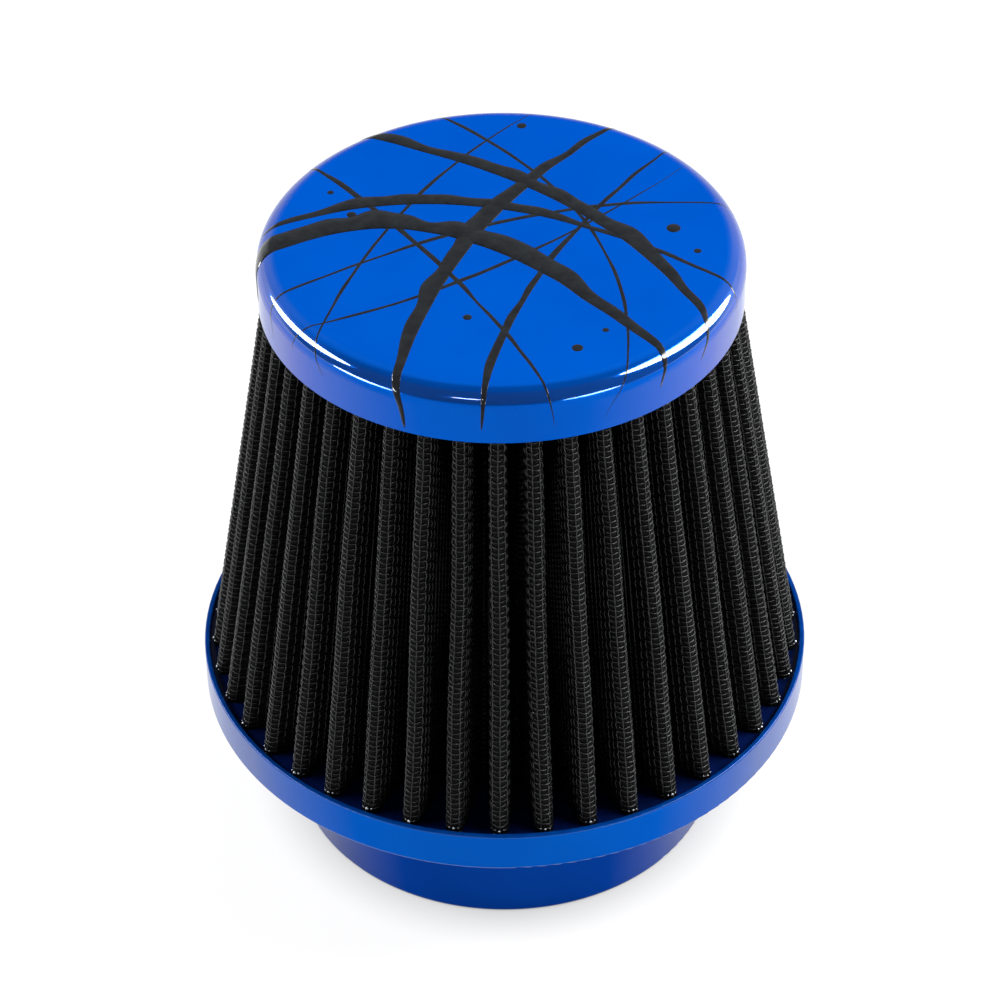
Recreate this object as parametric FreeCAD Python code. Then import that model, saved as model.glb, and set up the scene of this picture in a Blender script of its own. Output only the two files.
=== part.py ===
import FreeCAD, Part
import math
import os

from FreeCAD import Vector

# A cone air filter that stands on its neck. Millimetres, +Z up, the neck's end face on z = 0.
# The front of the filter looks towards -Y.

# Base: one soft moulding of the neck, the ring and the tray that holds the pleats
BORE_R = 38.1
NECK_WALL = 3.5
NECK_LENGTH = 29.0
NECK_EDGE_R = 0.8
NECK_ROOT_R = 1.2
RING_R = 58.5
RING_HEIGHT = 8.3
RING_EDGE_R = 0.5
TRAY_WEB = 4.0
LIP_WALL = 1.1
LIP_EDGE_R = 0.35
COLLAR_WALL = 1.9
COLLAR_EDGE_R = 0.6
COLLAR_ABOVE_RESIN = 0.4

# Top cap: a pressed metal cup, open downwards
TOTAL_HEIGHT = 129.0
CAP_R = 44.0
CAP_HEIGHT = 10.5
CAP_SHEET = 0.5
CAP_EDGE_R = 3.7

# Pleated element: three layers folded together
PLEAT_COUNT = 42
FRONT_PLEAT_TURN = -1.3
SCREEN_THICK = 0.3
MEDIA_THICK = 0.55
LAYER_GAP = 0.03
FOLD_SPACE_BOTTOM = 0.5
FOLD_SPACE_TOP = 0.22
PLEAT_DEPTH_TOP = 14.0
PLEAT_TO_COLLAR = 1.3
PLEAT_TO_LIP = 0.15
PLEAT_TO_CAP = 0.15

# Sealing resin in the tray and in the cap, with the ends of the pleats set in it
RESIN_BELOW_LIP = 1.1
RESIN_BED = 1.0
CAP_SOCKET = 6.0
CAP_RESIN_RECESS = 1.0
BOND_LINE = 0.03

# Heights and radii that follow from the sizes above
neck_r = BORE_R + NECK_WALL
ring_bottom = NECK_LENGTH
lip_top = ring_bottom + RING_HEIGHT
tray_floor = ring_bottom + TRAY_WEB
tray_resin_top = lip_top - RESIN_BELOW_LIP
lip_inner_r = RING_R - LIP_WALL
collar_r = BORE_R + COLLAR_WALL
collar_top = tray_resin_top + COLLAR_ABOVE_RESIN
cap_bottom = TOTAL_HEIGHT - CAP_HEIGHT
cap_inner_r = CAP_R - CAP_SHEET
cap_inner_top = TOTAL_HEIGHT - CAP_SHEET
pleat_bottom = tray_floor + RESIN_BED
pleat_top = cap_bottom + CAP_SOCKET
layers_thick = 2 * SCREEN_THICK + MEDIA_THICK + 2 * LAYER_GAP

# The pleat tips lie on a cone that clears the lip at the bottom and the cap's edge above
tip_r_bottom = lip_inner_r - PLEAT_TO_LIP
tip_r_at_cap = cap_inner_r - PLEAT_TO_CAP
tip_slope = (tip_r_at_cap - tip_r_bottom) / (cap_bottom - pleat_bottom)
tip_r_top = tip_r_at_cap + tip_slope * CAP_SOCKET
valley_r_bottom = collar_r + PLEAT_TO_COLLAR
valley_r_top = tip_r_top - PLEAT_DEPTH_TOP


def rounded_profile(corners):
    """A closed wire in the XZ plane through corners (r, z, rounding radius)."""
    starts = []
    ends = []
    middles = []
    count = len(corners)
    for i in range(count):
        r, z, radius = corners[i]
        here = Vector(r, 0, z)
        before = Vector(corners[i - 1][0], 0, corners[i - 1][1])
        after = Vector(corners[(i + 1) % count][0], 0, corners[(i + 1) % count][1])
        to_before = (before - here).normalize()
        to_after = (after - here).normalize()
        half = to_before.getAngle(to_after) / 2
        reach = radius / math.tan(half)
        inward = (to_before + to_after).normalize()
        starts.append(here + to_before * reach)
        ends.append(here + to_after * reach)
        middles.append(here + inward * (radius / math.sin(half) - radius))
    edges = []
    for i in range(count):
        if corners[i][2] > 0:
            edges.append(Part.Arc(starts[i], middles[i], ends[i]).toShape())
        edges.append(Part.LineSegment(ends[i], starts[(i + 1) % count]).toShape())
    return Part.Wire(edges)


def turned(corners):
    """The solid that the profile sweeps in one full turn about Z."""
    face = Part.Face(rounded_profile(corners))
    return face.revolve(Vector(0, 0, 0), Vector(0, 0, 1), 360)


def upper_rim(cylinder):
    """The round edge at the top of an upright cylinder."""
    middle_z = cylinder.BoundBox.Center.z
    return [edge for edge in cylinder.Edges if edge.BoundBox.ZMin > middle_z]


def on_circle(r, angle, z):
    return Vector(r * math.cos(angle), r * math.sin(angle), z)


def pleat_loop(z, tip_r, valley_r, fold_r, offset):
    """The edges of one closed pleated line at height z.

    tip_r and valley_r are the radii that the folds reach outside and inside, and fold_r is the
    rounding of the folds there. offset moves the line out from the middle of the layers.
    """
    pitch = 2 * math.pi / PLEAT_COUNT
    first = math.radians(FRONT_PLEAT_TURN - 90)
    middle_fold_r = fold_r - layers_thick / 2
    out_r = middle_fold_r + offset
    in_r = middle_fold_r - offset
    edges = []
    for i in range(PLEAT_COUNT):
        out_angle = first + i * pitch
        in_angle = out_angle + pitch / 2
        next_angle = out_angle + pitch
        out_centre = on_circle(tip_r - fold_r, out_angle, z)
        in_centre = on_circle(valley_r + fold_r, in_angle, z)
        next_centre = on_circle(tip_r - fold_r, next_angle, z)

        # The flank touches both folds, on opposite sides of the line between their centres
        along = in_centre - out_centre
        share = 2 * middle_fold_r / along.Length
        along.normalize()
        across = Vector(along.y, -along.x, 0)
        normal = along * share + across * math.sqrt(1 - share * share)
        turn = Vector(math.cos(out_angle), math.sin(out_angle), 0)
        side = Vector(-math.sin(out_angle), math.cos(out_angle), 0)
        normal_before = turn * normal.dot(turn) - side * normal.dot(side)
        in_turn = Vector(math.cos(in_angle), math.sin(in_angle), 0)
        in_side = Vector(-math.sin(in_angle), math.cos(in_angle), 0)
        normal_after = in_turn * normal.dot(in_turn) - in_side * normal.dot(in_side)

        tip_start = out_centre + normal_before * out_r
        tip_middle = out_centre + turn * out_r
        tip_end = out_centre + normal * out_r
        valley_start = in_centre - normal * in_r
        valley_middle = in_centre - in_turn * in_r
        valley_end = in_centre - normal_after * in_r
        next_start = next_centre + normal_after * out_r
        edges.append(Part.Arc(tip_start, tip_middle, tip_end).toShape())
        edges.append(Part.LineSegment(tip_end, valley_start).toShape())
        edges.append(Part.Arc(valley_start, valley_middle, valley_end).toShape())
        edges.append(Part.LineSegment(valley_end, next_start).toShape())
    return edges


def pleated_layer(outer_offset, inner_offset):
    """A pleated cone of sheet between two offsets from the middle of the layers."""
    fold_r_bottom = layers_thick + FOLD_SPACE_BOTTOM
    fold_r_top = layers_thick + FOLD_SPACE_TOP
    faces = []
    bottom_wires = []
    top_wires = []
    for offset in (outer_offset, inner_offset):
        low = pleat_loop(pleat_bottom, tip_r_bottom, valley_r_bottom, fold_r_bottom, offset)
        high = pleat_loop(pleat_top, tip_r_top, valley_r_top, fold_r_top, offset)
        for low_edge, high_edge in zip(low, high):
            faces.append(Part.makeRuledSurface(low_edge, high_edge))
        bottom_wires.append(Part.Wire(low))
        top_wires.append(Part.Wire(high))
    faces.append(Part.makeFace(bottom_wires, "Part::FaceMakerBullseye"))
    faces.append(Part.makeFace(top_wires, "Part::FaceMakerBullseye"))
    shell = Part.makeShell(faces)
    shell.sewShape()
    solid = Part.makeSolid(Part.Shell(shell.Faces))
    if solid.Volume < 0:
        solid.reverse()
    return solid


# Pleated element: woven screen outside, filter medium, woven screen inside
half = layers_thick / 2
outer_screen = pleated_layer(half, half - SCREEN_THICK)
media_side = half - SCREEN_THICK - LAYER_GAP
filter_media = pleated_layer(media_side, media_side - MEDIA_THICK)
inner_screen = pleated_layer(SCREEN_THICK - half, -half)
pleat_room = pleated_layer(half + BOND_LINE, -half - BOND_LINE)

# Base moulding
base_flange = turned([
    (BORE_R, 0, NECK_EDGE_R),
    (neck_r, 0, NECK_EDGE_R),
    (neck_r, ring_bottom, NECK_ROOT_R),
    (RING_R, ring_bottom, RING_EDGE_R),
    (RING_R, lip_top, LIP_EDGE_R),
    (lip_inner_r, lip_top, LIP_EDGE_R),
    (lip_inner_r, tray_floor, 0),
    (collar_r, tray_floor, 0),
    (collar_r, collar_top, COLLAR_EDGE_R),
    (BORE_R, collar_top, COLLAR_EDGE_R),
])

# Resin that fills the tray round the lower ends of the pleats
tray_fill = turned([
    (collar_r + BOND_LINE, tray_floor, 0),
    (lip_inner_r - BOND_LINE, tray_floor, 0),
    (lip_inner_r - BOND_LINE, tray_resin_top, 0),
    (collar_r + BOND_LINE, tray_resin_top, 0),
])
tray_resin = tray_fill.cut(pleat_room)

# Pressed cap: the cup's outside less its hollow
inner_edge_r = CAP_EDGE_R - CAP_SHEET
cup = Part.makeCylinder(CAP_R, CAP_HEIGHT, Vector(0, 0, cap_bottom))
cup = cup.makeFillet(CAP_EDGE_R, upper_rim(cup))
hollow = Part.makeCylinder(cap_inner_r, CAP_HEIGHT - CAP_SHEET, Vector(0, 0, cap_bottom))
hollow = hollow.makeFillet(inner_edge_r, upper_rim(hollow))
top_cap = cup.cut(hollow)

# Resin that fills the cap and holds the upper ends of the pleats
cap_resin_bottom = cap_bottom + CAP_RESIN_RECESS
cap_resin_top = cap_inner_top - BOND_LINE
cap_fill_height = cap_resin_top - cap_resin_bottom
cap_fill = Part.makeCylinder(cap_inner_r - BOND_LINE, cap_fill_height, Vector(0, 0, cap_resin_bottom))
cap_fill = cap_fill.makeFillet(inner_edge_r, upper_rim(cap_fill))
cap_resin = cap_fill.cut(pleat_room)

pieces = {
    "base_flange": base_flange,
    "tray_resin": tray_resin,
    "outer_screen": outer_screen,
    "filter_media": filter_media,
    "inner_screen": inner_screen,
    "cap_resin": cap_resin,
    "top_cap": top_cap,
}
os.makedirs("parts", exist_ok=True)
for name, shape in pieces.items():
    print(name, "valid", shape.isValid(), "solids", len(shape.Solids), "volume", round(shape.Volume, 1))
    shape.exportStep("parts/" + name + ".step")
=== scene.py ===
import math

import bpy
import numpy as np
from mathutils import Matrix, Vector


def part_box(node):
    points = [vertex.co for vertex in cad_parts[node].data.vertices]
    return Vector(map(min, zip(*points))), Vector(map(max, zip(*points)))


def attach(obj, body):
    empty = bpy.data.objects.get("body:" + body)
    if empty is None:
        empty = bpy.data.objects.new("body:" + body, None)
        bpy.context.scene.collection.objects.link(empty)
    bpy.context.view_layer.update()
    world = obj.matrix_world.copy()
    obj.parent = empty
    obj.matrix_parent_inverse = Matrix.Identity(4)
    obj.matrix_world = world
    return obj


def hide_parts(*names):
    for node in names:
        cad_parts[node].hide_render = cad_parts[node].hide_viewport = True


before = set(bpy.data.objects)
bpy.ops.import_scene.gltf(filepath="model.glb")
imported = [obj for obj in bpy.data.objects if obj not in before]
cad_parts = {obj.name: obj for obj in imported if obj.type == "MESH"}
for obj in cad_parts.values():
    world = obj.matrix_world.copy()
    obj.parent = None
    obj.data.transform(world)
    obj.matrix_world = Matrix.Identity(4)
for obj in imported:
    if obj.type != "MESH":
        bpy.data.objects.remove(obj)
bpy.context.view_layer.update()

MM = 0.001

# Base
# The neck, ring and tray are one soft blue moulding from a closed mould, with a thin lip round the
# tray. The neck slips over an intake pipe, and a hose clamp draws it tight there.


def colour(hex_code):
    """An sRGB hex colour as linear red, green, blue and alpha."""
    parts = [int(hex_code[i : i + 2], 16) / 255 for i in (0, 2, 4)]
    return [p / 12.92 if p <= 0.04045 else ((p + 0.055) / 1.055) ** 2.4 for p in parts] + [1.0]


def add_node(tree, kind, values=None, links=None, **settings):
    """Adds a node, sets its options and socket values, and links other sockets into it."""
    node = tree.nodes.new(kind)
    for name, value in settings.items():
        setattr(node, name, value)
    for name, value in (values or {}).items():
        node.inputs[name].default_value = value
    for name, source in (links or {}).items():
        tree.links.new(source, node.inputs[name])
    return node


def new_material(name, values):
    """A material with its main shader's plain values set. Returns it with its tree and shader."""
    material = bpy.data.materials.new(name)
    material.use_nodes = True
    shader = material.node_tree.nodes["Principled BSDF"]
    for socket, value in values.items():
        shader.inputs[socket].default_value = value
    return material, material.node_tree, shader


GRAIN_DETAIL = 3.0
GRAIN_LOW = 0.3
GRAIN_HIGH = 0.7

# The sockets of a node that mixes two colours, by number
MIX_SHARE = 0
MIX_FIRST = 6
MIX_SECOND = 7
MIX_RESULT = 2


def grain(tree, size):
    """Random grain over the object, with features of about that size in metres."""
    place = add_node(tree, "ShaderNodeTexCoord").outputs["Object"]
    noise = {"Scale": 1 / size, "Detail": GRAIN_DETAIL}
    return add_node(tree, "ShaderNodeTexNoise", noise, {"Vector": place}).outputs["Fac"]


def uneven(tree, size, low, high):
    """A value that goes from low to high over the surface, with grain of that size in metres."""
    spread = {"From Min": GRAIN_LOW, "From Max": GRAIN_HIGH, "To Min": low, "To Max": high}
    value = {"Value": grain(tree, size)}
    return add_node(tree, "ShaderNodeMapRange", spread, value).outputs["Result"]


def shade(tree, size, dark, light):
    """A colour between two hex colours, in patches of about that size in metres."""
    ends = {MIX_FIRST: colour(dark), MIX_SECOND: colour(light)}
    share = {MIX_SHARE: uneven(tree, size, 0.0, 1.0)}
    return add_node(tree, "ShaderNodeMix", ends, share, data_type="RGBA").outputs[MIX_RESULT]


def roughen(tree, shader, size, depth):
    """Bumps of about that size and that depth in metres."""
    bump = {"Strength": 1.0, "Distance": depth}
    normal = add_node(tree, "ShaderNodeBump", bump, {"Height": grain(tree, size)}).outputs["Normal"]
    tree.links.new(normal, shader.inputs["Normal"])


def dress(node_name, material):
    """Gives a CAD node its material."""
    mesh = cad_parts[node_name].data
    mesh.materials.clear()
    mesh.materials.append(material)


def glancing(tree, start, end, least, most):
    """Gloss from least to most as the surface turns away from the eye.

    start and end say between which turns it rises: 0 faces the eye, 1 is edge on.
    """
    facing = add_node(tree, "ShaderNodeLayerWeight", {"Blend": 0.5}).outputs["Facing"]
    rise = {"From Min": start, "From Max": end, "To Min": least, "To Max": most}
    return add_node(tree, "ShaderNodeMapRange", rise, {"Value": facing}).outputs["Result"]


def height_mask(tree, zero_at, one_at):
    """A mask that goes from 0 to 1 between two heights in metres."""
    place = add_node(tree, "ShaderNodeTexCoord").outputs["Object"]
    height = add_node(tree, "ShaderNodeSeparateXYZ", None, {"Vector": place}).outputs["Z"]
    rise = {"From Min": zero_at, "From Max": one_at}
    return add_node(tree, "ShaderNodeMapRange", rise, {"Value": height}).outputs["Result"]


def band_mask(tree, low, high, fade):
    """A mask that is 1 between two heights in metres and fades to 0 just inside them."""
    above = height_mask(tree, low, low + fade)
    below = height_mask(tree, high, high - fade)
    return add_node(tree, "ShaderNodeMath", None, {0: above, 1: below}, operation="MULTIPLY").outputs[0]


# Where the look changes: at the top of the neck, and just below the top of the lip
NECK_LENGTH = 29.0 * MM
NECK_BLEND = 0.4 * MM
LIP_EDGE = 0.3 * MM
LIP_BLEND = 0.2 * MM
LIP_GLINT = 0.35
LIP_GLINT_FROM = 0.02 * MM
LIP_GLINT_TO = 0.38 * MM
LIP_GLINT_FADE = 0.06 * MM

# The sheen, and the sizes of the patches and the grain on the moulding
SHEEN_FROM = 0.40
SHEEN_TO = 0.64
LEAST_SHEEN = 0.02
COLOUR_PATCH = 20 * MM
LIP_TOP_PATCH = 2 * MM
SATIN_PATCH = 5 * MM
MOULD_GRAIN = 0.9 * MM
MOULD_GRAIN_DEPTH = 0.002 * MM
lip_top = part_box("base_flange")[1][2]

# Moulded polyurethane gives the eye a deep even blue, with a soft pale sheen where it turns away
base_material, tree, shader = new_material(
    "moulded_blue_polyurethane",
    {
        "Metallic": 0.35,
        "Specular IOR Level": 0.0,
        "Specular Tint": colour("0055B8"),
        "Coat IOR": 1.72,
        "Coat Roughness": 0.18,
        "Coat Tint": colour("D6D6D6"),
    },
)
# Painted shade: the neck's colour is darker than the ring's, for the shade under the ring
neck_painted_shade_colour = shade(tree, COLOUR_PATCH, "003C93", "00409B")
ring_colour = shade(tree, COLOUR_PATCH, "0054B4", "0059BC")
lip_colour = shade(tree, LIP_TOP_PATCH, "003580", "00408F")
tree.links.new(uneven(tree, SATIN_PATCH, 0.50, 0.55), shader.inputs["Roughness"])

# The neck is drawn darker than the ring as painted shade, for the shade under the ring's overhang, and
# the top of the lip is drawn darker than the ring
on_ring = height_mask(tree, NECK_LENGTH - NECK_BLEND / 2, NECK_LENGTH + NECK_BLEND / 2)
on_lip = height_mask(tree, lip_top - LIP_EDGE, lip_top - LIP_EDGE + LIP_BLEND)
ring_mix = {MIX_SHARE: on_ring, MIX_FIRST: neck_painted_shade_colour, MIX_SECOND: ring_colour}
neck_and_ring = add_node(tree, "ShaderNodeMix", None, ring_mix, data_type="RGBA")
lip_mix = {MIX_SHARE: on_lip, MIX_FIRST: neck_and_ring.outputs[MIX_RESULT], MIX_SECOND: lip_colour}
base_colour = add_node(tree, "ShaderNodeMix", None, lip_mix, data_type="RGBA")
tree.links.new(base_colour.outputs[MIX_RESULT], shader.inputs["Base Color"])

# The rounded edge of the lip is polished by handling and catches the light as a thin line
on_edge = band_mask(tree, lip_top - LIP_GLINT_TO, lip_top - LIP_GLINT_FROM, LIP_GLINT_FADE)
glint = add_node(tree, "ShaderNodeMath", {1: LIP_GLINT}, {0: on_edge}, operation="MULTIPLY")
sheen = glancing(tree, SHEEN_FROM, SHEEN_TO, LEAST_SHEEN, 1.0)
glossy = add_node(tree, "ShaderNodeMath", None, {0: sheen, 1: glint.outputs[0]}, operation="MAXIMUM")
tree.links.new(glossy.outputs[0], shader.inputs["Coat Weight"])

# The grain that the mould leaves is too fine to show, so it is drawn nearly a millimetre wide
roughen(tree, shader, MOULD_GRAIN, MOULD_GRAIN_DEPTH)
dress("base_flange", base_material)

# Tray resin
# Dark sealing resin, poured into the tray round the feet of the pleats and cured there. It bonds
# the pleats to the base, and its surface is a little uneven.
POUR_PATCH = 6 * MM
POUR_GLOSS_PATCH = 3 * MM
POUR_WAVE = 2.5 * MM
POUR_WAVE_DEPTH = 0.12 * MM

# Poured polyurethane gives the eye a blue that is almost black, half glossy, in shallow waves
resin_material, tree, shader = new_material("poured_dark_polyurethane", {"Specular IOR Level": 0.04})
tree.links.new(shade(tree, POUR_PATCH, "030E2F", "051547"), shader.inputs["Base Color"])
tree.links.new(uneven(tree, POUR_GLOSS_PATCH, 0.2, 0.35), shader.inputs["Roughness"])
roughen(tree, shader, POUR_WAVE, POUR_WAVE_DEPTH)
dress("tray_resin", resin_material)

# Filter medium
# Layers of black cotton gauze, folded into pleats together with the two screens and set in resin
# at both ends. Hand folding leaves each pleat a little out of line.
PLEATS = 42
PLEAT_PITCH = 2 * math.pi / PLEATS
FRONT_PLEAT_TURN = -1.3
FIRST_PLEAT = math.radians(FRONT_PLEAT_TURN - 90)

# The folded layers: how far tips and valleys reach at the lower and upper end, and how round they are
TIP_R_LOW = 57.25 * MM
TIP_R_HIGH = 42.36 * MM
VALLEY_R_LOW = 41.3 * MM
VALLEY_R_HIGH = 28.36 * MM
FOLD_R_LOW = 1.71 * MM
FOLD_R_HIGH = 1.43 * MM
LAYERS_THICK = 1.21 * MM
MEDIA_THICK = 0.55 * MM

# The gauze's threads, and how far the pleats lean: slowly up their height, with a quicker sway on top
THREAD_PATCH = 0.5 * MM
THREAD_GRAIN = 0.4 * MM
THREAD_DEPTH = 0.1 * MM
LEAN = 0.28 * MM
LEAN_SHARES = (0.3, 1.0)
QUICK_LEAN = 0.5
QUICK_LEAN_WAVES = 3

# Points along one pleat
TIP_STEPS = 16
FLANK_STEPS = 6
VALLEY_STEPS = 8
PLEAT_STEPS = TIP_STEPS + VALLEY_STEPS + 2 * FLANK_STEPS
pleat_low_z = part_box("filter_media")[0][2]
pleat_high_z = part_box("filter_media")[1][2]
resin_top_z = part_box("tray_resin")[1][2]
cap_resin_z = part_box("cap_resin")[0][2]
chance = np.random.default_rng(11)
lean_phase = chance.uniform(0, 2 * math.pi, (PLEATS, 2))
lean_size = chance.uniform(*LEAN_SHARES, (PLEATS, 2))


def directions(angles):
    """Unit vectors in the plane at angles in radians."""
    return np.stack([np.cos(angles), np.sin(angles)], axis=-1)


def pleat_line(tip_r, valley_r, fold_r):
    """Points along the middle of the folded layers, all the way round, and their outward normals."""
    bend_r = fold_r - LAYERS_THICK / 2
    tip = np.array([tip_r - fold_r, 0.0])
    valley = (valley_r + fold_r) * directions(PLEAT_PITCH / 2)
    next_tip = (tip_r - fold_r) * directions(PLEAT_PITCH)

    # A flank touches both folds, on opposite sides of the line between their centres
    across = valley - tip
    side = np.arctan2(across[1], across[0]) - math.pi / 2
    side += math.asin(2 * bend_r / np.linalg.norm(across))

    # One pleat goes round its tip, down a flank, round the valley and up to the next tip
    turns = [
        np.linspace(-side, side, TIP_STEPS, endpoint=False),
        np.full(FLANK_STEPS, side),
        np.linspace(side, PLEAT_PITCH - side, VALLEY_STEPS, endpoint=False),
        np.full(FLANK_STEPS, PLEAT_PITCH - side),
    ]
    ways = [directions(turn) for turn in turns]
    along = np.linspace(0, 1, FLANK_STEPS, endpoint=False)[:, None]
    tip_end = tip + bend_r * directions(side)
    valley_start = valley - bend_r * directions(side)
    valley_end = valley - bend_r * directions(PLEAT_PITCH - side)
    next_start = next_tip + bend_r * directions(PLEAT_PITCH - side)
    pleat = np.concatenate([
        tip + bend_r * ways[0],
        tip_end + along * (valley_start - tip_end),
        valley - bend_r * ways[2],
        valley_end + along * (next_start - valley_end),
    ])
    normals = np.concatenate(ways)
    points_round = []
    normals_round = []
    for i in range(PLEATS):
        turn = FIRST_PLEAT + i * PLEAT_PITCH
        spin = np.array([[math.cos(turn), math.sin(turn)], [-math.sin(turn), math.cos(turn)]])
        points_round.append(pleat @ spin)
        normals_round.append(normals @ spin)
    return np.concatenate(points_round), np.concatenate(normals_round)


low_points, low_normals = pleat_line(TIP_R_LOW, VALLEY_R_LOW, FOLD_R_LOW)
high_points, high_normals = pleat_line(TIP_R_HIGH, VALLEY_R_HIGH, FOLD_R_HIGH)
LINE_STEPS = len(low_points)


def along_line(values, place):
    """Values read between the line's steps, round and round."""
    before = np.floor(place).astype(int)
    share = (place - before)[..., None]
    return values[before % LINE_STEPS] * (1 - share) + values[(before + 1) % LINE_STEPS] * share


def on_pleats(place, z, out):
    """Points on the pleats: place counts the line's steps, z is the height, out is the offset."""
    place, z, out = np.broadcast_arrays(place, z, out)
    rise = (z - pleat_low_z) / (pleat_high_z - pleat_low_z)
    low = along_line(low_points, place) + out[..., None] * along_line(low_normals, place)
    high = along_line(high_points, place) + out[..., None] * along_line(high_normals, place)
    flat = low * (1 - rise[..., None]) + high * rise[..., None]

    # Each pleat, from one valley to the next, leans to one side or the other, most at its tip
    pleat = np.floor((place + PLEAT_STEPS - TIP_STEPS - FLANK_STEPS - VALLEY_STEPS / 2) / PLEAT_STEPS)
    pleat = pleat.astype(int) % PLEATS
    r = np.linalg.norm(flat, axis=-1)
    valley_r = VALLEY_R_LOW + rise * (VALLEY_R_HIGH - VALLEY_R_LOW)
    tip_r = TIP_R_LOW + rise * (TIP_R_HIGH - TIP_R_LOW)
    depth = np.clip((r - valley_r) / (tip_r - valley_r), 0, 1)
    slow = np.sin(math.pi * rise + lean_phase[pleat, 0])
    quick = np.sin(QUICK_LEAN_WAVES * math.pi * rise + lean_phase[pleat, 1])
    sway = lean_size[pleat, 0] * slow + QUICK_LEAN * lean_size[pleat, 1] * quick
    turn = LEAN * sway * np.sin(math.pi * rise) * depth / r
    x = flat[..., 0] * np.cos(turn) - flat[..., 1] * np.sin(turn)
    y = flat[..., 0] * np.sin(turn) + flat[..., 1] * np.cos(turn)
    return np.stack([x, y, z], axis=-1)


def add_piece(name, points, faces, material, node=None):
    """A smooth mesh piece on the object's one body, in place of a CAD node if one is named."""
    mesh = bpy.data.meshes.new(name)
    mesh.from_pydata(points.reshape(-1, 3), [], faces)
    mesh.polygons.foreach_set("use_smooth", np.ones(len(mesh.polygons), dtype=bool))
    mesh.materials.append(material)
    mesh.update()
    piece = bpy.data.objects.new(name, mesh)
    bpy.context.scene.collection.objects.link(piece)
    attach(piece, "root")
    if node:
        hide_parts(node)


def grid_faces(rows, columns, close_rows, close_columns):
    """Faces of a grid of points, joined at its ends where asked."""
    row_ends = rows if close_rows else rows - 1
    column_ends = columns if close_columns else columns - 1
    row, column = np.meshgrid(np.arange(row_ends), np.arange(column_ends), indexing="ij")
    next_row = (row + 1) % rows
    next_column = (column + 1) % columns
    corners = [row * columns + column, row * columns + next_column]
    corners += [next_row * columns + next_column, next_row * columns + column]
    return np.stack(corners, axis=-1).reshape(-1, 4)


MEDIA_LEVELS = 20
MEDIA_EVERY = 2
media_places = np.arange(0, LINE_STEPS, MEDIA_EVERY)
media_z = np.linspace(pleat_low_z, pleat_high_z, MEDIA_LEVELS)
outside = on_pleats(media_places[None, :], media_z[:, None], MEDIA_THICK / 2)
inside = on_pleats(media_places[None, :], media_z[::-1, None], -MEDIA_THICK / 2)
media_points = np.concatenate([outside, inside])
media_faces = grid_faces(2 * MEDIA_LEVELS, len(media_places), True, True)

# Woven cotton gives the eye a dull black with no gloss, so that the wires stand out before it.
# Its threads are too fine to show, so its grain is drawn as coarse as half a millimetre.
media_material, tree, shader = new_material(
    "black_cotton_gauze",
    {"Roughness": 0.95, "Specular IOR Level": 0.1},
)
tree.links.new(shade(tree, THREAD_PATCH, "0A0A0B", "121213"), shader.inputs["Base Color"])
roughen(tree, shader, THREAD_GRAIN, THREAD_DEPTH)
add_piece("media_folds", media_points, media_faces, media_material, "filter_media")

# Inner screen
# Plain woven aluminium wire with a black coating, on the clean side of the gauze. It keeps the
# folds open against the flow, and is cut and pleated together with the gauze.
WARP_R = 0.13 * MM
WEFT_R = 0.13 * MM
WARP_CRIMP = 0.12 * MM
WEFT_CRIMP = 0.10 * MM
WARP_SPACING = 1.65 * MM
WEFT_SPACING = 1.1 * MM
SCREEN_OUT = 0.455 * MM
WIRE_SIDES = 3
SUNK_IN_RESIN = 0.3 * MM
SMALL_STEP = 0.05
INNER_BENDS_EVERY = 3
COATING_PATCH = 0.9 * MM
COATING_GLOSS_PATCH = 0.8 * MM
COATING_GRAIN = 0.25 * MM
COATING_DEPTH = 0.015 * MM

# A wire of a quarter of a millimetre needs only three sides to look round
wire_turns = 2 * math.pi * np.arange(WIRE_SIDES) / WIRE_SIDES

# Cross wires are evenly spaced up the slant of the cone, and the first and last are sunk in resin
slant = math.hypot(1, (TIP_R_LOW - TIP_R_HIGH) / (pleat_high_z - pleat_low_z))
weft_count = round((cap_resin_z - resin_top_z) * slant / WEFT_SPACING) + 1
weft_z = np.linspace(resin_top_z - SUNK_IN_RESIN, cap_resin_z + SUNK_IN_RESIN, weft_count)
all_weft = np.arange(weft_count)


def weave(out):
    """One screen's length at each step of the line, and the lengths where its upright wires stand."""
    screen = low_points + out * low_normals
    steps = np.linalg.norm(np.roll(screen, -1, axis=0) - screen, axis=1)
    so_far = np.concatenate([[0], np.cumsum(steps)])
    count = 2 * round(so_far[-1] / WARP_SPACING / 2)
    return so_far, (np.arange(count) + 0.5) * so_far[-1] / count


inner_so_far, inner_warp_length = weave(-SCREEN_OUT)
outer_so_far, outer_warp_length = weave(SCREEN_OUT)

# The weave isn't quite even: each wire wanders a little to both sides of its place
WARP_WANDER = 0.045 * MM
WEFT_WANDER = 0.07 * MM
WANDER_WAVE = 9.0 * MM
QUICK_WANDER = 0.6
QUICK_WANDER_WAVES = 3
most_wires = max(len(inner_warp_length), len(outer_warp_length), weft_count)
wander_phase = chance.uniform(0, 2 * math.pi, (2, most_wires))


def wander(wires, along):
    """How far wires stray sideways, as a share, by their numbers and the length along them."""
    slow = np.sin(2 * math.pi * along / WANDER_WAVE + wander_phase[0, wires])
    quick = np.sin(2 * math.pi * QUICK_WANDER_WAVES * along / WANDER_WAVE + wander_phase[1, wires])
    return slow + QUICK_WANDER * quick


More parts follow.
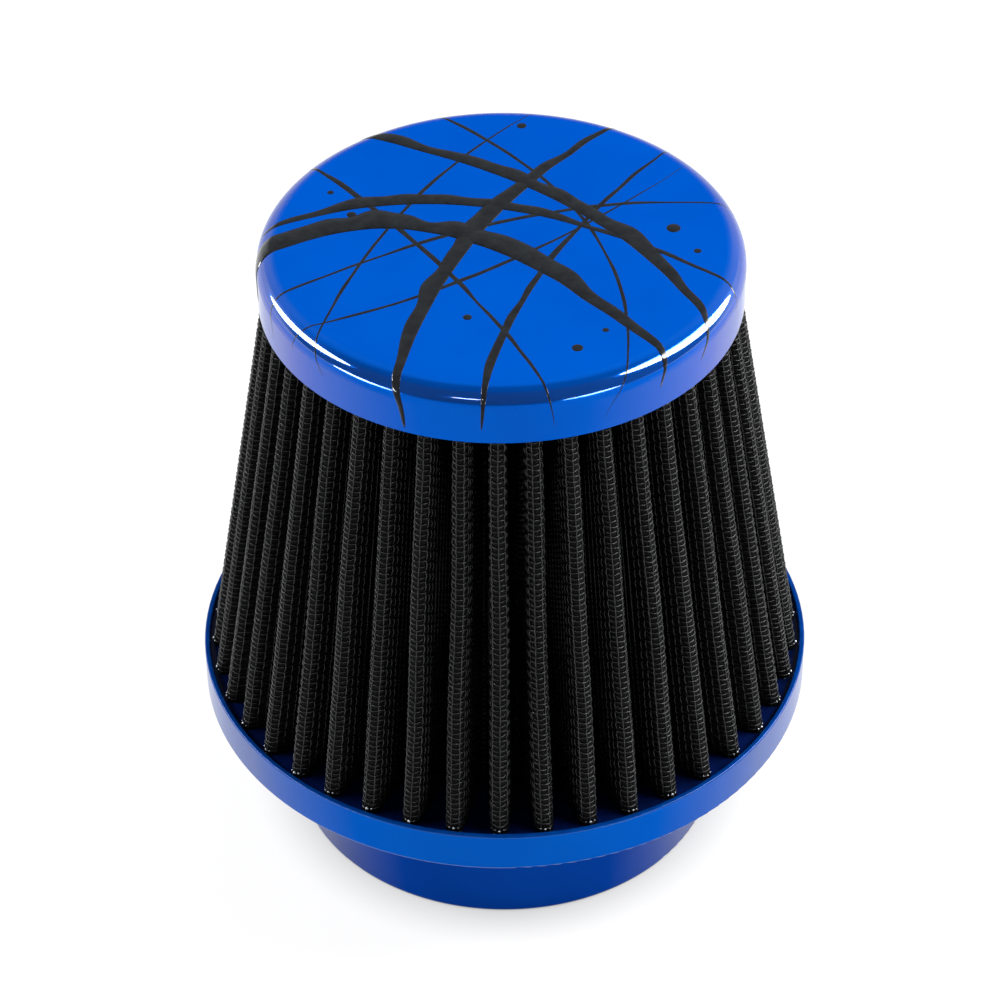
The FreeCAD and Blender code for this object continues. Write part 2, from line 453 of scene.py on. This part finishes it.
def weft_points(so_far, lengths, wires, out, crimp):
    """Tube points of numbered wires that run round the pleats, at lengths along the screen."""
    places = np.interp(lengths, so_far, np.arange(LINE_STEPS + 1))
    whole_waves = np.round(so_far[-1] / WANDER_WAVE) * WANDER_WAVE
    strayed = WEFT_WANDER * wander(wires[:, None], lengths[None, :] / so_far[-1] * whole_waves)
    z = weft_z[wires][:, None] + strayed
    tubes = []
    for turn in wire_turns:
        lift = WEFT_R * math.cos(turn) + crimp
        tubes.append(on_pleats(places[None, :], z - WEFT_R * math.sin(turn), out + lift))
    return np.stack(tubes, axis=2)


def warp_points(so_far, lengths, wires, z, out, crimp):
    """Tube points of numbered wires that run up the pleats, from lengths along the screen."""
    strayed = lengths[wires][:, None] + WARP_WANDER * wander(wires[:, None], z[None, :])
    places = np.interp(strayed, so_far, np.arange(LINE_STEPS + 1))
    line = on_pleats(places, z[None, :], out + crimp)
    ahead = on_pleats(places + SMALL_STEP, z[None, :], out + crimp)
    behind = on_pleats(places - SMALL_STEP, z[None, :], out + crimp)
    outward = on_pleats(places, z[None, :], out + crimp + WARP_R) - line
    sideways = ahead - behind
    sideways *= WARP_R / np.linalg.norm(sideways, axis=-1, keepdims=True)
    tubes = [line + outward * math.cos(turn) + sideways * math.sin(turn) for turn in wire_turns]
    return np.stack(tubes, axis=2)


def tube_faces(wires, points, closed):
    """Faces of that many tubes of that many points each, with end faces if they aren't closed."""
    one = grid_faces(points, WIRE_SIDES, closed, True)
    start = np.arange(wires) * points * WIRE_SIDES
    faces = (one[None] + start[:, None, None]).reshape(-1, 4).tolist()
    if not closed:
        ends = np.arange(WIRE_SIDES)
        last = (points - 1) * WIRE_SIDES
        faces += (start[:, None] + ends[::-1]).tolist()
        faces += (start[:, None] + last + ends).tolist()
    return faces


def join(*parts):
    """Several (points, faces) as one."""
    points = []
    faces = []
    count = 0
    for part_points, part_faces in parts:
        flat = part_points.reshape(-1, 3)
        points.append(flat)
        faces += [[corner + count for corner in face] for face in part_faces]
        count += len(flat)
    return np.concatenate(points), faces


# Coated aluminium gives the eye black wires with a small bright glint where they face a light.
# The coating's own unevenness is too fine to show, so it is drawn nearly a millimetre long.
wire_material, tree, shader = new_material("black_coated_aluminium", {"Specular IOR Level": 0.68})
tree.links.new(shade(tree, COATING_PATCH, "08090A", "17191B"), shader.inputs["Base Color"])
tree.links.new(uneven(tree, COATING_GLOSS_PATCH, 0.26, 0.42), shader.inputs["Roughness"])
roughen(tree, shader, COATING_GRAIN, COATING_DEPTH)

# This screen shows only through the bore, so its cross wires bend at every third upright alone
ends_z = np.array([pleat_low_z, pleat_high_z])
inner_all = np.arange(len(inner_warp_length))
inner_lengths = inner_warp_length[::INNER_BENDS_EVERY]
inner_weft = weft_points(inner_so_far, inner_lengths, all_weft, -SCREEN_OUT, 0.0)
inner_warp = warp_points(inner_so_far, inner_warp_length, inner_all, ends_z, -SCREEN_OUT, 0.0)
inner_points, inner_faces = join(
    (inner_weft, tube_faces(weft_count, len(inner_lengths), True)),
    (inner_warp, tube_faces(len(inner_all), len(ends_z), False)),
)
add_piece("inner_screen_wires", inner_points, inner_faces, wire_material, "inner_screen")

# Outer screen
# The same woven wire on the dirty side. The wires pass over and under each other, which shows on
# the rounded tips of the pleats.
CRIMPED_WITHIN = 6.5 * MM
TIP_REACH = 4.2 * MM
TIP_SAMPLES = 20
FLANK_SAMPLES = 2
VALLEY_REACH = 1.0 * MM
VALLEY_SAMPLES = 4
WEFT_PIECES = 3
screen_length = outer_so_far[-1]
pleat_length = screen_length / PLEATS
tip_length = outer_so_far[TIP_STEPS // 2]


def from_tip(lengths):
    """Length from the middle of the nearest pleat tip."""
    return np.abs((lengths - tip_length + pleat_length / 2) % pleat_length - pleat_length / 2)


# Points of a cross wire lie close together at the two folds of a pleat and further apart between
over_tip = np.linspace(-TIP_REACH, TIP_REACH, TIP_SAMPLES)
in_valley = pleat_length / 2 + np.linspace(-VALLEY_REACH, VALLEY_REACH, VALLEY_SAMPLES)
on_flank = np.linspace(TIP_REACH, in_valley[0], FLANK_SAMPLES + 2)[1:-1]
one_pleat = np.concatenate([over_tip, on_flank, in_valley, pleat_length - on_flank])
tip_lengths = tip_length + pleat_length * np.arange(PLEATS)
outer_lengths = np.sort((tip_lengths[:, None] + one_pleat[None, :]).ravel() % screen_length)

# The wires pass over and under each other by turns
outer_all = np.arange(len(outer_warp_length))
warp_over = np.where(outer_all % 2 == 0, 1.0, -1.0)
weft_over = np.where(all_weft % 2 == 0, 1.0, -1.0)
warp_gap = screen_length / len(outer_all)
along_weft = -np.cos(math.pi * (outer_lengths - outer_warp_length[0]) / warp_gap)
along_weft *= from_tip(outer_lengths) <= TIP_REACH + WEFT_R
for number, wires in enumerate(np.array_split(all_weft, WEFT_PIECES)):
    crimp = WEFT_CRIMP * weft_over[wires][:, None] * along_weft[None, :]
    points = weft_points(outer_so_far, outer_lengths, wires, SCREEN_OUT, crimp)
    faces = tube_faces(len(wires), len(outer_lengths), True)
    add_piece(f"outer_weft_{number + 1}", points, faces, wire_material, "outer_screen")

# Uprights near a tip are crimped, and those deep between the pleats run straight
near = outer_all[from_tip(outer_warp_length) < CRIMPED_WITHIN]
far = outer_all[from_tip(outer_warp_length) >= CRIMPED_WITHIN]
near_z = np.concatenate([[pleat_low_z], weft_z, [pleat_high_z]])
along_warp = np.concatenate([[0.0], weft_over, [0.0]])
crimp = WARP_CRIMP * warp_over[near][:, None] * along_warp[None, :]
near_points = warp_points(outer_so_far, outer_warp_length, near, near_z, SCREEN_OUT, crimp)
far_points = warp_points(outer_so_far, outer_warp_length, far, ends_z, SCREEN_OUT, 0.0)
warp_all, warp_faces = join(
    (near_points, tube_faces(len(near), len(near_z), False)),
    (far_points, tube_faces(len(far), len(ends_z), False)),
)
add_piece("outer_warp", warp_all, warp_faces, wire_material, "outer_screen")

# Wire ends
# Cut ends of the upright wires at the feet of the pleats. The coating has broken off there, so
# bare aluminium shows just above the resin.
END_R = 0.30 * MM
SIDE_END_R = 0.17 * MM
SIDE_END_AWAY = 0.8 * MM
END_ABOVE_RESIN = 0.95 * MM
END_SIDES = 6
END_RINGS = 5
ENDS_PER_TIP = 3
END_SIZES = (0.7, 1.15)
END_HEIGHTS = (0.85, 1.1)
SHEARED_PATCH = 0.3 * MM
SHEARED_GRAIN = 0.2 * MM
end_aways = np.array([-SIDE_END_AWAY, 0.0, SIDE_END_AWAY])
end_lengths = (tip_lengths[:, None] + end_aways[None, :]).ravel() % screen_length
end_sizes = np.tile([SIDE_END_R, END_R, SIDE_END_R], PLEATS)
end_sizes = end_sizes * chance.uniform(*END_SIZES, PLEATS * ENDS_PER_TIP)
end_z = resin_top_z + END_ABOVE_RESIN * chance.uniform(*END_HEIGHTS, PLEATS * ENDS_PER_TIP)
end_places = np.interp(end_lengths, outer_so_far, np.arange(LINE_STEPS + 1))
centres = on_pleats(end_places, end_z, SCREEN_OUT + WARP_R)

# Each end is a small ball, as the shears leave it
around = 2 * math.pi * np.arange(END_SIDES) / END_SIDES
up = math.pi * (np.arange(END_RINGS)[::-1] + 0.5) / END_RINGS
ball = np.stack([
    np.sin(up)[:, None] * np.cos(around)[None, :],
    np.sin(up)[:, None] * np.sin(around)[None, :],
    np.repeat(np.cos(up)[:, None], END_SIDES, axis=1),
], axis=-1)
balls = centres[:, None, None, :] + end_sizes[:, None, None, None] * ball[None]
one_ball = grid_faces(END_RINGS, END_SIDES, False, True).tolist()
one_ball.append(list(range(END_SIDES))[::-1])
one_ball.append(list(range((END_RINGS - 1) * END_SIDES, END_RINGS * END_SIDES)))
ball_faces = []
for i in range(len(centres)):
    ball_faces += [[corner + i * END_RINGS * END_SIDES for corner in face] for face in one_ball]

# Sheared aluminium gives the eye a row of small bright dots with a dull sparkle
end_material, tree, shader = new_material("sheared_aluminium", {"Metallic": 1.0})
tree.links.new(shade(tree, SHEARED_PATCH, "A8ACB2", "D2D6DC"), shader.inputs["Base Color"])
tree.links.new(uneven(tree, SHEARED_GRAIN, 0.4, 0.6), shader.inputs["Roughness"])
add_piece("wire_ends", balls, ball_faces, end_material)

# Cap resin
# The same dark resin, poured into the cap with the pleats standing in it. It closes the end of the
# cone, and its underside shows from inside.
dress("cap_resin", resin_material)

# Cap
# A cup pressed from aluminium sheet and sprayed with clear blue lacquer over the bright metal. It is
# glued on by the resin that fills it.
cap_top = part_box("top_cap")[1][2]
TOP_EDGE = 0.2 * MM
RIM_FROM = 0.55 * MM
RIM_TO = 2.45 * MM
RIM_FADE = 0.28 * MM
TOP_GLOSS = 0.1
TOP_GLOSS_FROM = 0.45
TOP_GLOSS_TO = 0.85
SIDE_GLOSS_FROM = 0.27
SIDE_GLOSS_TO = 0.66
LEAST_SIDE_GLOSS = 0.02
RIPPLE = 0.9 * MM
RIPPLE_DEPTH = 0.002 * MM


def lacquer_gloss(tree):
    """How much clear lacquer shows: most of it round the rim, where it ran, and least on the top."""
    on_top = glancing(tree, TOP_GLOSS_FROM, TOP_GLOSS_TO, 0.0, TOP_GLOSS)
    turned = glancing(tree, SIDE_GLOSS_FROM, SIDE_GLOSS_TO, LEAST_SIDE_GLOSS, 1.0)
    under_top = height_mask(tree, cap_top, cap_top - TOP_EDGE)
    on_side = add_node(tree, "ShaderNodeMath", None, {0: turned, 1: under_top}, operation="MULTIPLY")
    on_rim = band_mask(tree, cap_top - RIM_TO, cap_top - RIM_FROM, RIM_FADE)
    edge = {0: on_side.outputs[0], 1: on_rim}
    on_edge = add_node(tree, "ShaderNodeMath", None, edge, operation="MAXIMUM")
    most = {0: on_edge.outputs[0], 1: on_top}
    return add_node(tree, "ShaderNodeMath", None, most, operation="MAXIMUM").outputs[0]


# Blue lacquer on aluminium gives the eye a clean strong blue from above, and pale mirrored light
# along the rim and down the wall. Sprayed lacquer dries with a slight ripple.
cap_material, tree, shader = new_material(
    "blue_lacquer_on_aluminium",
    {
        "Metallic": 0.55,
        "Specular IOR Level": 0.0,
        "Specular Tint": colour("0055BE"),
        "Coat IOR": 1.95,
        "Coat Roughness": 0.02,
        "Coat Tint": colour("F0F0F0"),
    },
)
tree.links.new(shade(tree, COLOUR_PATCH, "0052BA", "0057C2"), shader.inputs["Base Color"])
tree.links.new(uneven(tree, SATIN_PATCH, 0.10, 0.15), shader.inputs["Roughness"])
tree.links.new(lacquer_gloss(tree), shader.inputs["Coat Weight"])
roughen(tree, shader, RIPPLE, RIPPLE_DEPTH)
dress("top_cap", cap_material)

# Cap paint
# Strokes of thick black paint laid on the cap with a brush in wide sweeps, under the clear lacquer.
# They stand up with rounded edges, run over the rim and end on the wall, and drops lie beside them.
CAP_R = 44.0 * MM
RIM_R = 3.7 * MM
PAINT_STEEP = 0.1
PAINT_SUNK = 0.1 * MM
STROKE_STEPS = 160

# A stroke wavers in six waves, each quicker and smaller than the last, and swells past its start
WAVERS = 6
FIRST_WAVER = 7
NEXT_WAVER = 13
WIDTH_WAVER = 0.22
SIDE_WAVER = 0.12
THINNEST = 0.05
SWELLS_EARLY = 0.7
SWELLS_FULL = 0.8

# Drops, and the sizes of the patches and brush marks in the paint
DROP_SIDES = 20
DROP_REACH = 0.999
LEAST_REACH = 1e-9
PAINT_PATCH = 2 * MM
BRUSH_MARK = 1.2 * MM
BRUSH_MARK_DEPTH = 0.05 * MM

# A stroke's section: places across it, as shares of its half width, and the paint's height there
ACROSS = np.array([1.0, 0.8, 0.3, -0.3, -0.8, -1.0])
RISE = np.array([0.0, 0.6, 0.95, 0.95, 0.6, 0.0])


def on_cap(flat, lift):
    """Points of a flat drawing, in metres from the cap's middle, wrapped over its rim and wall."""
    reach = np.linalg.norm(flat, axis=-1)
    way = flat / np.maximum(reach, LEAST_REACH)[..., None]
    bend = np.clip((reach - (CAP_R - RIM_R)) / RIM_R, 0, math.pi / 2)
    fall = np.maximum(reach - (CAP_R - RIM_R) - RIM_R * math.pi / 2, 0)
    r = np.minimum(reach, CAP_R - RIM_R) + (RIM_R + lift) * np.sin(bend)
    z = cap_top - RIM_R + (RIM_R + lift) * np.cos(bend) - fall
    return np.stack([way[..., 0] * r, way[..., 1] * r, z], axis=-1)


def paint_body(middle, sides):
    """A thin closed body of paint, from its middle line and the half widths across it."""
    thick = PAINT_STEEP * np.linalg.norm(sides, axis=1)
    flat = middle[:, None, :] + ACROSS[None, :, None] * sides[:, None, :]
    top = on_cap(flat, thick[:, None] * RISE[None, :])
    under = on_cap(flat[:, ::-1], np.full(len(ACROSS), -PAINT_SUNK)[None, :])
    points = np.concatenate([top, under], axis=1)
    columns = points.shape[1]
    faces = grid_faces(len(middle), columns, False, True).tolist()
    faces.append(list(range(columns))[::-1])
    last = (len(middle) - 1) * columns
    faces.append([last + i for i in range(columns)])
    return points, faces


def stroke(start, bend, end, width):
    """A brush stroke along a curve of three points in mm. It swells, thins and wavers."""
    t = np.linspace(0, 1, STROKE_STEPS)[:, None]
    a, b, c = (np.array(point) * MM for point in (start, bend, end))
    line = a * (1 - t) ** 2 + 2 * b * t * (1 - t) + c * t**2
    ahead = 2 * (b - a) * (1 - t) + 2 * (c - b) * t
    ahead /= np.linalg.norm(ahead, axis=1, keepdims=True)
    side = np.stack([-ahead[:, 1], ahead[:, 0]], axis=1)
    phases = chance.uniform(0, 2 * math.pi, WAVERS)
    waver = np.zeros(STROKE_STEPS)
    for k in range(WAVERS):
        waver += np.sin((FIRST_WAVER + NEXT_WAVER * k) * t[:, 0] + phases[k]) / (k + 1)
    swell = np.sin(math.pi * t[:, 0] ** SWELLS_EARLY) ** SWELLS_FULL
    half = width * MM / 2 * (THINNEST + swell * (1 + WIDTH_WAVER * waver))
    line = line + side * (SIDE_WAVER * width * MM * waver)[:, None]
    return paint_body(line, side * half[:, None])


def drop(x, y, r):
    """A round drop of paint, with its middle and radius in mm."""
    t = np.linspace(-1, 1, DROP_SIDES) * DROP_REACH
    middle = np.stack([x * MM + r * MM * t, np.full(DROP_SIDES, y * MM)], axis=1)
    half = r * MM * np.sqrt(1 - t**2)
    return paint_body(middle, np.stack([np.zeros(DROP_SIDES), half], axis=1))


paint_points, paint_faces = join(
    stroke((-49, -8), (-12, 34), (30, -38), 5.5),
    stroke((-44, 4), (-4, 30), (44, -16), 2.6),
    stroke((-30, 36), (22, 22), (38, -30), 3.6),
    stroke((-20, -48), (-14, 8), (26, 41), 3.2),
    stroke((-4, -50), (0, -6), (34, 32), 1.4),
    stroke((-46, -20), (6, 20), (48, 10), 0.9),
    stroke((-38, 28), (-4, -8), (10, -49), 1.1),
    stroke((-40, -26), (-2, -16), (36, 26), 0.7),
    stroke((-16, 44), (30, 10), (20, -46), 0.8),
    stroke((-34, -34), (-22, 16), (8, 43), 0.7),
    drop(31, 4, 1.3),
    drop(35, -3, 0.7),
    drop(-27, 9, 0.9),
    drop(-31, 16, 0.6),
    drop(13, -31, 1.0),
    drop(18, -26, 0.6),
    drop(-6, -22, 0.8),
    drop(4, 37, 0.9),
)

# Thick paint gives the eye an even near-black with soft brush marks, and gloss at its edges
paint_material, tree, shader = new_material(
    "black_paint_under_lacquer",
    {"Specular IOR Level": 0.04, "Coat IOR": 1.75, "Coat Roughness": 0.02},
)
tree.links.new(shade(tree, PAINT_PATCH, "17191C", "212427"), shader.inputs["Base Color"])
tree.links.new(uneven(tree, SATIN_PATCH, 0.35, 0.40), shader.inputs["Roughness"])
tree.links.new(lacquer_gloss(tree), shader.inputs["Coat Weight"])
roughen(tree, shader, BRUSH_MARK, BRUSH_MARK_DEPTH)
add_piece("cap_paint", paint_points, paint_faces, paint_material)

# Stage
# A white table in a dim studio with a pale wall behind. A slanting strip light stands on each side,
# low panels stand at the front corners, and a small lamp hangs in front.
FLOOR_NEAR = 2.0
FLOOR_FAR = 80.0
FLOOR_WHITE = 0.85
FLOOR_GLOW = 1.07
CONTACT_SHADE = 0.6
CONTACT_REACH = 10 * MM
CONTACT_SAMPLES = 3

# The floor is cut into a small square and its surround, because one huge face isn't exact enough
floor_mesh = bpy.data.meshes.new("floor")
floor_lines = np.array([-FLOOR_FAR, -FLOOR_NEAR, FLOOR_NEAR, FLOOR_FAR])
floor_x, floor_y = np.meshgrid(floor_lines, floor_lines)
floor_points = np.stack([floor_x, floor_y, np.zeros_like(floor_x)], axis=-1)
floor_faces = grid_faces(len(floor_lines), len(floor_lines), False, False)
floor_mesh.from_pydata(floor_points.reshape(-1, 3), [], floor_faces)
floor = bpy.data.objects.new("floor", floor_mesh)
bpy.context.scene.collection.objects.link(floor)

# Matt white laminate gives the eye plain white, with a tight shadow where the neck stands on it, mostly
# painted
floor_material, tree, shader = new_material(
    "matt_white_laminate",
    {"Base Color": colour("E2E2E2"), "Roughness": 0.9, "Specular IOR Level": 0.0},
)

# It is white to the eye and in what mirrors it, and lights the filter no more than a table would
path = add_node(tree, "ShaderNodeLightPath").outputs
mirrored = {0: path["Is Glossy Ray"], 1: path["Is Transmission Ray"]}
in_mirror = add_node(tree, "ShaderNodeMath", None, mirrored, operation="MAXIMUM")
either = {0: path["Is Camera Ray"], 1: in_mirror.outputs[0]}
seen = add_node(tree, "ShaderNodeMath", None, either, operation="MAXIMUM")
white = {1: FLOOR_WHITE}
share = add_node(tree, "ShaderNodeMath", white, {0: seen.outputs[0]}, operation="MULTIPLY")
# The tight shadow at the foot is partly real and partly painted: the lit share gives a little real
# shadow, and ambient occlusion dims the floor's glow near the neck as a painted shadow
reach = {"Distance": CONTACT_REACH}
painted_contact_shadow = add_node(tree, "ShaderNodeAmbientOcclusion", reach, samples=CONTACT_SAMPLES)
fade = {"To Min": FLOOR_GLOW * (1 - CONTACT_SHADE), "To Max": FLOOR_GLOW}
strength = add_node(tree, "ShaderNodeMapRange", fade, {"Value": painted_contact_shadow.outputs["AO"]})
bright = {"Strength": strength.outputs["Result"]}
glow = add_node(tree, "ShaderNodeEmission", {"Color": colour("FFFFFF")}, bright)
both = {0: share.outputs[0], 1: shader.outputs[0], 2: glow.outputs[0]}
lit = add_node(tree, "ShaderNodeMixShader", None, both)
tree.links.new(lit.outputs[0], tree.nodes["Material Output"].inputs["Surface"])
floor_mesh.materials.append(floor_material)

STUDIO_DIM = 0.05
STUDIO_PALE = 0.9
WALL_FROM = 0.1
WALL_TO = 0.5
world = bpy.data.worlds.new("studio")
world.use_nodes = True
tree = world.node_tree
way = add_node(tree, "ShaderNodeTexCoord").outputs["Generated"]
parts = add_node(tree, "ShaderNodeSeparateXYZ", None, {"Vector": way})
behind = add_node(
    tree,
    "ShaderNodeMapRange",
    {"From Min": WALL_FROM, "From Max": WALL_TO, "To Min": STUDIO_DIM, "To Max": STUDIO_PALE},
    {"Value": parts.outputs["Y"]},
    interpolation_type="SMOOTHSTEP",
)
tree.links.new(behind.outputs["Result"], tree.nodes["Background"].inputs["Strength"])
tree.nodes["Background"].inputs["Color"].default_value = colour("FFFFFF")
bpy.context.scene.world = world

LIGHT_DISTANCE = 1.2
LIT_HEIGHT = 0.1
lit_middle = Vector((0, 0, LIT_HEIGHT))


def direction(azimuth, elevation):
    """A unit vector. Azimuth 0 is the front and 90 the right."""
    a = math.radians(azimuth)
    e = math.radians(elevation)
    return Vector((math.sin(a) * math.cos(e), -math.cos(a) * math.cos(e), math.sin(e)))


def strip_light(name, start, end, width, brightness):
    """A long soft light between two directions (azimuth, elevation), turned to the filter."""
    first = lit_middle + direction(*start) * LIGHT_DISTANCE
    last = lit_middle + direction(*end) * LIGHT_DISTANCE
    middle = (first + last) / 2
    along = (last - first).normalized()
    back = (middle - lit_middle).normalized()
    across = back.cross(along).normalized()
    back = along.cross(across)
    lamp = bpy.data.lights.new(name, "AREA")
    lamp.shape = "ELLIPSE"
    lamp.size = (last - first).length
    lamp.size_y = width

    # The power that gives the ellipse this brightness all over
    lamp.energy = brightness * math.pi * math.pi / 4 * lamp.size * lamp.size_y
    light = bpy.data.objects.new(name, lamp)
    turn = Matrix((along, across, back)).transposed().to_4x4()
    light.matrix_world = Matrix.Translation(middle) @ turn
    bpy.context.scene.collection.objects.link(light)


strip_light("right_strip", (66, 51), (118, 11), 0.48, 16)
strip_light("left_strip", (-76, 37), (-121, 10), 0.32, 16)
strip_light("right_panel", (25, 4), (50, 4), 0.15, 14)
strip_light("left_panel", (-75, 3), (-44, 3), 0.15, 14)
strip_light("front_lamp", (-23, 31), (-9, 31), 0.06, 14)

# Camera
# Placed as the photograph was taken: from the front, well above, with a long lens.
CAMERA_DISTANCE = 0.700
CAMERA_ELEVATION = math.radians(41.08)
CAMERA_ROLL = math.radians(-0.506)
SENSOR_WIDTH_MM = 36.0
FOCAL_PIXELS = 3626.7
PICTURE_PIXELS = 1000
AXIS_RIGHT_PIXELS = 4.08
AXIS_DOWN_PIXELS = 72.68
AIM_Z = 50.7 * MM
lens = bpy.data.cameras.new("camera")
lens.sensor_width = SENSOR_WIDTH_MM
lens.lens = FOCAL_PIXELS * lens.sensor_width / PICTURE_PIXELS
lens.shift_x = -AXIS_RIGHT_PIXELS / PICTURE_PIXELS
lens.shift_y = AXIS_DOWN_PIXELS / PICTURE_PIXELS
camera = bpy.data.objects.new("camera", lens)
camera_back = CAMERA_DISTANCE * math.cos(CAMERA_ELEVATION)
camera_up = AIM_Z + CAMERA_DISTANCE * math.sin(CAMERA_ELEVATION)
tilt = Matrix.Rotation(math.pi / 2 - CAMERA_ELEVATION, 4, "X") @ Matrix.Rotation(CAMERA_ROLL, 4, "Z")
camera.matrix_world = Matrix.Translation((0, -camera_back, camera_up)) @ tilt
bpy.context.scene.collection.objects.link(camera)
bpy.context.scene.camera = camera
bpy.context.scene.view_settings.view_transform = "Standard"

bpy.context.view_layer.update()
